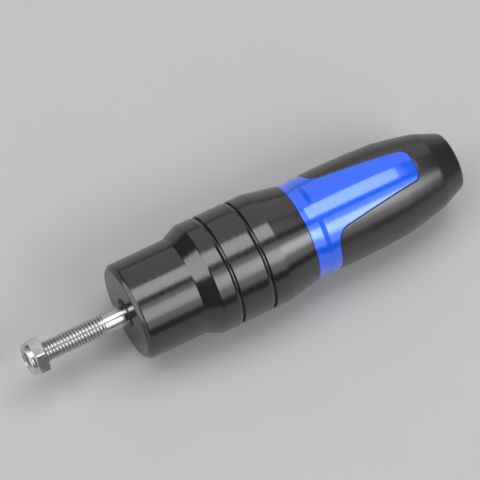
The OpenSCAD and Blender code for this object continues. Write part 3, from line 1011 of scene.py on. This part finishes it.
class SLIDER_OT_bolt(bpy.types.Operator):
    """Cuts the bolt's thread, draws its shank and forms its knurled socket head"""

    bl_idname = "slider.bolt"
    bl_label = "Make Bolt"

    def execute(self, context):
        s = context.scene.slider_fasteners
        tip, end = BOLT_LOW.x, BOLT_LOW.x + s.thread_length
        head_x = BOLT_HIGH.x - s.head_height
        turns = math.ceil(s.thread_length / s.pitch) + 3
        p, crest, root = s.pitch, s.crest_radius, s.root_radius
        flank = 0.46 * MM
        tooth = [
            (-p / 2, root),
            (-p / 2 + 0.07 * MM, root + 0.004 * MM),
            (-flank, root + 0.035 * MM),
            (-0.1 * MM, crest - 0.03 * MM),
            (-0.065 * MM, crest),
            (0.065 * MM, crest),
            (0.1 * MM, crest - 0.03 * MM),
            (flank, root + 0.035 * MM),
            (p / 2 - 0.07 * MM, root + 0.004 * MM),
            (p / 2, root),
        ]
        start = tip - 1.5 * p
        obj = start_point("threaded_bolt", start + tooth[0][0], tooth[0][1])
        draw_line([(start + x, r) for x, r in tooth])
        done()
        helix = obj.modifiers.new("thread", "SCREW")
        helix.axis = "X"
        helix.angle = 2 * math.pi
        helix.screw_offset = p
        helix.iterations = turns
        helix.steps = helix.render_steps = 48
        helix.use_smooth_shade = False
        apply_modifiers(obj)
        fade = 1.6 * p
        for vertex in obj.data.vertices:
            x, radius = vertex.co.x, radius_of(vertex.co)
            chamfer = crest - s.tip_chamfer + max(0.0, x - tip)
            wanted = min(radius, chamfer)
            if x > end - fade:
                t = min(1.0, (x - end + fade) / fade)
                wanted = max(wanted, root + (s.shank_radius - root) * t * t)
            if x >= end:
                wanted = s.shank_radius
            grow = wanted / radius
            vertex.co = (min(max(x, tip), end), vertex.co.y * grow, vertex.co.z * grow)
        edit()
        bpy.ops.mesh.select_all(action="SELECT")
        bpy.ops.mesh.remove_doubles(threshold=NEAR)
        bpy.ops.mesh.select_mode(type="EDGE")
        pick("edges", lambda e: e.is_boundary and all(v.co.x < tip + NEAR for v in e.verts))
        bpy.ops.mesh.extrude_region_move(TRANSFORM_OT_translate={"value": (0, 0, 0)})
        bpy.ops.transform.resize(value=(1, 0.25, 0.25), center_override=(tip, 0, 0))
        bpy.ops.mesh.edge_face_add()
        pick("edges", lambda e: e.is_boundary and all(v.co.x > end - NEAR for v in e.verts))
        under = head_x + 0.4 * MM
        for x, radius in (
            (head_x - 0.6 * MM, s.shank_radius),
            (head_x, s.shank_radius + 0.0002),
            (head_x, s.head_radius - 1.2 * MM),
            (under, s.head_radius - 1.0 * MM),
        ):
            self.extend(x, radius)
        bpy.ops.mesh.edge_face_add()
        close_up()
        done()
        head = self.knurled_head(s, head_x)
        take(obj)
        head.select_set(True)
        bpy.ops.object.join()
        smooth(obj, math.radians(38))
        dress(obj, "bolt", "bolt", "plated_steel_threaded")
        return {"FINISHED"}

    def extend(self, x, radius):
        """Extrudes the selected ring of edges to a new place and radius."""
        mesh = bmesh.from_edit_mesh(bpy.context.object.data)
        ring = [v.co for v in mesh.verts if v.select]
        here, size = ring[0].x, radius_of(ring[0])
        bpy.ops.mesh.extrude_region_move(TRANSFORM_OT_translate={"value": (x - here, 0, 0)})
        grow = radius / size
        bpy.ops.transform.resize(value=(1, grow, grow), center_override=(x, 0, 0))

    def knurled_head(self, s, head_x):
        """The cylindrical head with straight knurling round it and a hexagon socket in its end."""
        fresh()
        height, radius = s.head_height, s.head_radius
        bpy.ops.mesh.primitive_cylinder_add(
            vertices=112, radius=radius, depth=height, location=(head_x + height / 2, 0, 0), rotation=(0, math.pi / 2, 0)
        )
        head = bpy.context.object
        head.name = head.data.name = "bolt_head"
        bpy.ops.object.transform_apply(location=True, rotation=True, scale=True)
        top = head_x + height
        edit("EDGE")
        pick("edges", lambda e: all(v.co.x > top - NEAR for v in e.verts))
        bpy.ops.mesh.bevel(offset=0.7 * MM, segments=4, affect="EDGES")
        pick("edges", lambda e: all(v.co.x < head_x + NEAR for v in e.verts))
        bpy.ops.mesh.bevel(offset=0.3 * MM, segments=2, affect="EDGES")
        bpy.ops.mesh.select_all(action="SELECT")
        for x in (head_x + 1.0 * MM, head_x + 1.3 * MM, top - 2.1 * MM, top - 1.8 * MM):
            bpy.ops.mesh.bisect(plane_co=(x, 0, 0), plane_no=X_AXIS)
            bpy.ops.mesh.select_all(action="SELECT")
        bpy.ops.mesh.select_mode(type="VERT")
        low, high = head_x + 1.15 * MM, top - 1.95 * MM
        step = 2 * math.pi / 112
        pick(
            "verts",
            lambda v: low < v.co.x < high and round(math.atan2(v.co.y, v.co.z) / step) % 2 == 0,
        )
        bpy.ops.transform.resize(value=(1, 0.962, 0.962), center_override=(0, 0, 0))
        done()
        fresh()
        bpy.ops.mesh.primitive_cylinder_add(
            vertices=6,
            radius=s.key_across / 2 / math.cos(math.pi / 6),
            depth=2 * s.key_depth,
            location=(top, 0, 0),
            rotation=(0, math.pi / 2, 0),
        )
        key = bpy.context.object
        bpy.ops.object.transform_apply(location=True, rotation=True, scale=True)
        edit("FACE")
        pick("faces", lambda f: f.normal.x < -0.9)
        bpy.ops.mesh.inset(thickness=0.1 * MM)
        bpy.ops.mesh.extrude_region_move(TRANSFORM_OT_translate={"value": (-0.9 * MM, 0, 0)})
        bpy.ops.transform.resize(value=(1, 0.12, 0.12), center_override=(0, 0, 0))
        done()
        self.cut(head, key)
        return head

    def cut(self, obj, tool):
        """Cuts a tool out of an object and removes the tool."""
        cutter = obj.modifiers.new("cut", "BOOLEAN")
        cutter.operation = "DIFFERENCE"
        cutter.solver = "EXACT"
        cutter.object = tool
        apply_modifiers(obj)
        bpy.data.objects.remove(tool)


class SLIDER_OT_washer(bpy.types.Operator):
    """Turns the washer under the bolt's head"""

    bl_idname = "slider.washer"
    bl_label = "Turn Washer"

    def execute(self, context):
        s = context.scene.slider_fasteners
        low, high, outer = WASHER_LOW.x, WASHER_HIGH.x, WASHER_HIGH.z
        hole = s.shank_radius + 0.2 * MM
        outline = [
            (low, hole, 0.12 * MM),
            (low, outer, 0.15 * MM),
            (high, outer, 0.35 * MM),
            (high, hole, 0.2 * MM),
        ]
        piece = turned("steel_washer", outline, 96)
        smooth(piece)
        dress(piece, "slider", "bolt_washer", "plated_steel_bright")
        return {"FINISHED"}


class SLIDER_OT_lock_nut(bpy.types.Operator):
    """Forms the lock nut: chamfered hexagon, crimped round collar and pale nylon insert"""

    bl_idname = "slider.lock_nut"
    bl_label = "Form Lock Nut"

    def execute(self, context):
        s = context.scene.slider_fasteners
        end, face = NUT_LOW.x, NUT_HIGH.x
        hex_x = face - s.nut_hex_height
        flat = s.nut_across / 2
        corner = flat / math.cos(math.pi / 6)
        bore = s.crest_radius + 0.05 * MM
        fresh()
        bpy.ops.mesh.primitive_cylinder_add(
            vertices=6,
            radius=corner,
            depth=s.nut_hex_height,
            location=((hex_x + face) / 2, 0, 0),
            rotation=(0, math.pi / 2, 0),
        )
        nut = bpy.context.object
        nut.name = nut.data.name = "crimped_nut"
        bpy.ops.object.transform_apply(location=True, rotation=True, scale=True)
        nut.data.transform(Matrix.Rotation(s.nut_turn, 4, "X"))
        edit("EDGE")
        pick("edges", lambda e: abs(e.verts[0].co.x - e.verts[1].co.x) > s.nut_hex_height / 2)
        bpy.ops.mesh.bevel(offset=0.32 * MM, segments=3, affect="EDGES")
        done()
        drop = (corner - flat + 0.3 * MM) * math.tan(math.radians(30))
        over = corner + 0.5 * MM
        over_drop = (over - flat + 0.3 * MM) * math.tan(math.radians(30))
        lens = turned(
            "nut_chamfer_tool",
            [
                (hex_x, 0, 0),
                (hex_x, flat - 0.3 * MM, 0),
                (hex_x + over_drop, over, 0),
                (face - over_drop, over, 0),
                (face, flat - 0.3 * MM, 0),
                (face, 0, 0),
            ],
            96,
            closed=False,
        )
        self.combine(nut, lens, "INTERSECT")
        r = s.nut_collar_radius
        rim = turned(
            "nut_collar_tool",
            [
                (hex_x + drop, 0, 0),
                (hex_x + drop, r, 0),
                (end + 1.25 * MM, r, 0.1 * MM),
                (end + 1.1 * MM, r - 0.3 * MM, 0.05 * MM),
                (end + 0.95 * MM, r - 0.08 * MM, 0.1 * MM),
                (end + 0.2 * MM, r - 0.2 * MM, 0.6 * MM),
                (end, r - 1.1 * MM, 0.25 * MM),
                (end, 0, 0),
            ],
            96,
            closed=False,
        )
        self.combine(nut, rim, "UNION")
        pocket = s.insert_radius + 0.05 * MM
        lip = INSERT_LOW.x - 0.05 * MM
        hole = turned(
            "nut_bore_tool",
            [
                (face + MM, 0, 0),
                (face + MM, bore + 1.3 * MM, 0),
                (face - 0.3 * MM, bore, 0),
                (hex_x, bore, 0),
                (hex_x, pocket, 0),
                (lip, pocket, 0),
                (lip, bore + 0.55 * MM, 0),
                (end - MM, bore + 0.55 * MM, 0),
                (end - MM, 0, 0),
            ],
            96,
            closed=False,
        )
        self.combine(nut, hole, "DIFFERENCE")
        edit()
        close_up()
        done()
        soften = nut.modifiers.new("soften", "BEVEL")
        soften.width = s.edge_round
        soften.segments = 2
        soften.limit_method = "ANGLE"
        soften.angle_limit = math.radians(24)
        apply_modifiers(nut)
        smooth(nut, math.radians(26))
        dress(nut, "nut", "lock_nut", "plated_steel_bright")
        low, high, outer = INSERT_LOW.x, INSERT_HIGH.x, INSERT_HIGH.z
        ring = turned(
            "nylon_insert",
            [(low, bore, 0.2 * MM), (low, outer, 0.1 * MM), (high, outer, 0.05 * MM), (high, bore, 0.05 * MM)],
            72,
        )
        smooth(ring)
        dress(ring, "nut", "nut_insert", "insert_nylon_pale")
        return {"FINISHED"}

    def combine(self, obj, tool, operation):
        """Joins, cuts or trims an object by a tool and removes the tool."""
        modifier = obj.modifiers.new(operation.lower(), "BOOLEAN")
        modifier.operation = operation
        modifier.solver = "EXACT"
        modifier.object = tool
        apply_modifiers(obj)
        bpy.data.objects.remove(tool)


def lamp(name, place, target, size_x, size_y, radiance, along=X_AXIS):
    """A rectangular softbox that faces a point, with its long side along a direction and its brightness as radiance."""
    fresh()
    bpy.ops.object.light_add(type="AREA", location=place)
    light = bpy.context.object
    light.name = light.data.name = name
    light.data.shape = "RECTANGLE"
    light.data.size, light.data.size_y = size_x, size_y
    light.data.energy = radiance * math.pi * size_x * size_y
    away = (Vector(place) - Vector(target)).normalized()
    side = (Vector(along) - Vector(along).dot(away) * away).normalized()
    up = away.cross(side)
    light.matrix_world = Matrix.Translation(place) @ Matrix((side, up, away)).transposed().to_4x4()
    light.visible_camera = False
    return light


class SLIDER_OT_stage(bpy.types.Operator):
    """Lays the pale floor, hangs the softboxes and sets the camera"""

    bl_idname = "slider.stage"
    bl_label = "Set Stage"

    def execute(self, context):
        c, studio = context.scene.slider_colours, context.scene.slider_studio
        fresh()
        bpy.ops.mesh.primitive_circle_add(
            vertices=64, radius=6.0, fill_type="NGON", location=(0, 0, -MAIN_R - 0.00002)
        )
        floor = bpy.context.object
        floor.name = floor.data.name = "studio_floor"
        bpy.ops.object.transform_apply(location=True, rotation=True, scale=True)
        floor.data.materials.append(bpy.data.materials["pale_floor"])
        middle = (0.05, 0.0, 0.0)
        lamp("overhead_softbox", (0.2, 0.204, 0.95), (0.2, 0.204, 0.0), 0.72, 0.5, studio.overhead)
        lamp("taper_softbox", (0.67, 0.204, 0.95), (0.67, 0.204, 0.0), 0.22, 0.5, 0.3 * studio.overhead)
        lamp("cone_softbox", (-0.70, 0.24, 0.95), (-0.70, 0.24, 0.0), 0.3, 1.15, studio.overhead)
        lamp("nut_softbox", (-0.36, 0.12, 0.95), (-0.36, 0.12, 0.0), 0.38, 0.55, 0.8 * studio.overhead)
        lamp("front_softbox", (0.55, -0.69, 0.71), (0.55, 0.0, 0.0), 0.9, 1.08, studio.front_edge)
        lamp("front_core_softbox", (0.55, -0.64, 0.75), (0.55, 0.0, 0.0), 0.9, 0.46, studio.front)
        lamp("front_peak_softbox", (0.75, -0.62, 0.77), (0.75, 0.0, 0.0), 0.9, 0.3, 0.85 * studio.front)
        lamp("rear_softbox", (0.98, 1.219, 0.795), (0.98, 0.0, 0.122), 1.65, 1.55, studio.rear)
        lamp("left_softbox", (-0.95, 0.0, 0.22), middle, 1.6, 0.4, studio.left, (0.0, 1.0, 0.0))
        world = bpy.data.worlds.new("studio")
        context.scene.world = world
        world.use_nodes = True
        w = Wiring(world.node_tree)
        world.node_tree.nodes.clear()
        surround = w.add("ShaderNodeBackground", Strength=studio.surround)
        surround.inputs["Color"].default_value = tuple(c.backdrop)
        out = w.add("ShaderNodeOutputWorld")
        w.tree.links.new(surround.outputs[0], out.inputs["Surface"])
        context.scene.view_settings.view_transform = "Standard"
        fresh()
        bpy.ops.object.camera_add(location=CAMERA_PLACE)
        camera = bpy.context.object
        camera.name = camera.data.name = "photo_camera"
        camera.data.lens = 225.0
        camera.data.sensor_width = 36.0
        back = -Vector(CAMERA_FORWARD)
        turn = Matrix((Vector(CAMERA_RIGHT), Vector(CAMERA_UP), back)).transposed().to_4x4()
        camera.matrix_world = Matrix.Translation(CAMERA_PLACE) @ turn
        context.scene.camera = camera
        return {"FINISHED"}


CAMERA_PLACE = (-0.2109, -0.31065, 1.0066)
CAMERA_RIGHT = (0.87763635, -0.47286191, 0.07846054)
CAMERA_UP = (0.41488651, 0.83137729, 0.36970392)
CAMERA_FORWARD = (0.24004921, 0.29191338, -0.92583095)

STEPS = (
    SLIDER_OT_finishes,
    SLIDER_OT_turned_metal,
    SLIDER_OT_blue_collar,
    SLIDER_OT_nylon_nose,
    SLIDER_OT_bolt,
    SLIDER_OT_washer,
    SLIDER_OT_lock_nut,
    SLIDER_OT_stage,
)
SETTINGS = (
    ("slider_body", SliderBodySizes),
    ("slider_nose", SliderNoseSizes),
    ("slider_fasteners", SliderFastenerSizes),
    ("slider_colours", SliderColours),
    ("slider_studio", SliderStudio),
)


class SLIDER_PT_panel(bpy.types.Panel):
    """Lists the steps and the settings of the exhaust slider"""

    bl_label = "Exhaust Slider"
    bl_idname = "SLIDER_PT_panel"
    bl_space_type = "VIEW_3D"
    bl_region_type = "UI"
    bl_category = "Exhaust Slider"

    def draw(self, context):
        for step in STEPS:
            self.layout.operator(step.bl_idname)
        for name, settings in SETTINGS:
            box = self.layout.box()
            box.label(text=settings.__doc__)
            for field in settings.__annotations__:
                box.prop(getattr(context.scene, name), field)


def register():
    """Registers the settings, the operators and the panel."""
    for name, settings in SETTINGS:
        bpy.utils.register_class(settings)
        setattr(bpy.types.Scene, name, PointerProperty(type=settings))
    for cls in (*STEPS, SLIDER_PT_panel):
        bpy.utils.register_class(cls)


def unregister():
    """Takes the panel, the operators and the settings away again."""
    for cls in (SLIDER_PT_panel, *reversed(STEPS)):
        bpy.utils.unregister_class(cls)
    for name, settings in reversed(SETTINGS):
        delattr(bpy.types.Scene, name)
        bpy.utils.unregister_class(settings)


def main():
    register()
    for step in STEPS:
        group, call = step.bl_idname.split(".")
        getattr(getattr(bpy.ops, group), call)()
    fresh()


if __name__ == "__main__":
    main()
